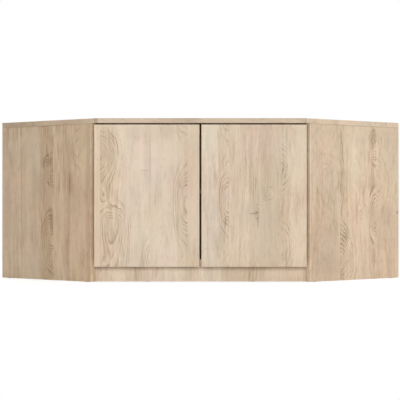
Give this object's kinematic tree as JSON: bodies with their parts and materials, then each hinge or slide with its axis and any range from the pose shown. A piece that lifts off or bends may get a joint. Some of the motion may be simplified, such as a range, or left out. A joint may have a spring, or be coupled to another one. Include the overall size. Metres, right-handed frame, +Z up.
{
  "type": "corner tv cabinet",
  "caption": "Low handle-less cabinet for a room corner, with hinged doors across the front, angled side panels, a shelf inside and a slab top for a television.",
  "frame": {"origin": "bottom centre of the bounding box, on the floor", "axes": "+X to the right seen from the front, +Y towards the room corner, +Z up"},
  "size_m": [1.3436, 0.9052, 0.525],
  "materials": {
    "oak_board": "pale oak-effect foil on particle board",
    "hardboard": "smooth brown hardboard",
    "beech": "fluted beech",
    "zinc_steel": "zinc plated",
    "grey_plastic": "matt",
    "white_plastic": "matt",
    "soft_bumper": "soft silicone"
  },
  "bodies": {
    "carcass": {"top_panel": "oak_board", "bottom_panel": "oak_board", "left_side_panel": "oak_board", "right_side_panel": "oak_board", "rear_corner_panel": "oak_board", "plinth_board": "oak_board", "plinth_brace": "oak_board", "shelf": "oak_board", "left_back_panel": "hardboard", "right_back_panel": "hardboard", "wooden_dowels": "beech", "left_hinge_plates": "zinc_steel", "right_hinge_plates": "zinc_steel", "left_hinge_arms": "zinc_steel", "right_hinge_arms": "zinc_steel", "hinge_plate_screws": "zinc_steel", "hinge_arm_screws": "zinc_steel", "latch_screws": "zinc_steel", "cam_locks": "zinc_steel", "cam_bolts": "zinc_steel", "back_panel_nails": "zinc_steel", "shelf_pins": "zinc_steel", "left_latch_spring": "zinc_steel", "right_latch_spring": "zinc_steel", "left_latch_housing": "grey_plastic", "right_latch_housing": "grey_plastic", "floor_glides": "white_plastic"},
    "left_door": {"left_door": "oak_board", "left_hinge_cups": "zinc_steel", "left_hinge_pins": "zinc_steel", "left_cup_screws": "zinc_steel", "left_strike_plate": "zinc_steel", "left_door_bumpers": "soft_bumper"},
    "right_door": {"right_door": "oak_board", "right_hinge_cups": "zinc_steel", "right_hinge_pins": "zinc_steel", "right_cup_screws": "zinc_steel", "right_strike_plate": "zinc_steel", "right_door_bumpers": "soft_bumper"},
    "left_latch_plunger": {"left_latch_plunger": "white_plastic"},
    "right_latch_plunger": {"right_latch_plunger": "white_plastic"}
  },
  "joints": [
    {"name": "left_door_swing", "type": "hinge", "parent": "carcass", "child": "left_door", "pos_m": [-0.33842, -0.43264, 0.278], "axis": [0, 0, -1], "range_deg": [0, 95]},
    {"name": "right_door_swing", "type": "hinge", "parent": "carcass", "child": "right_door", "pos_m": [0.33842, -0.43264, 0.278], "axis": [0, 0, 1], "range_deg": [0, 95]},
    {"name": "left_latch_press", "type": "slide", "parent": "carcass", "child": "left_latch_plunger", "axis": [0, 1, 0], "range_m": [0, 0.002], "stiffness_N_per_m": 400, "deforming": ["left_latch_spring"]},
    {"name": "right_latch_press", "type": "slide", "parent": "carcass", "child": "right_latch_plunger", "axis": [0, 1, 0], "range_m": [0, 0.002], "stiffness_N_per_m": 400, "deforming": ["right_latch_spring"]}
  ]
}
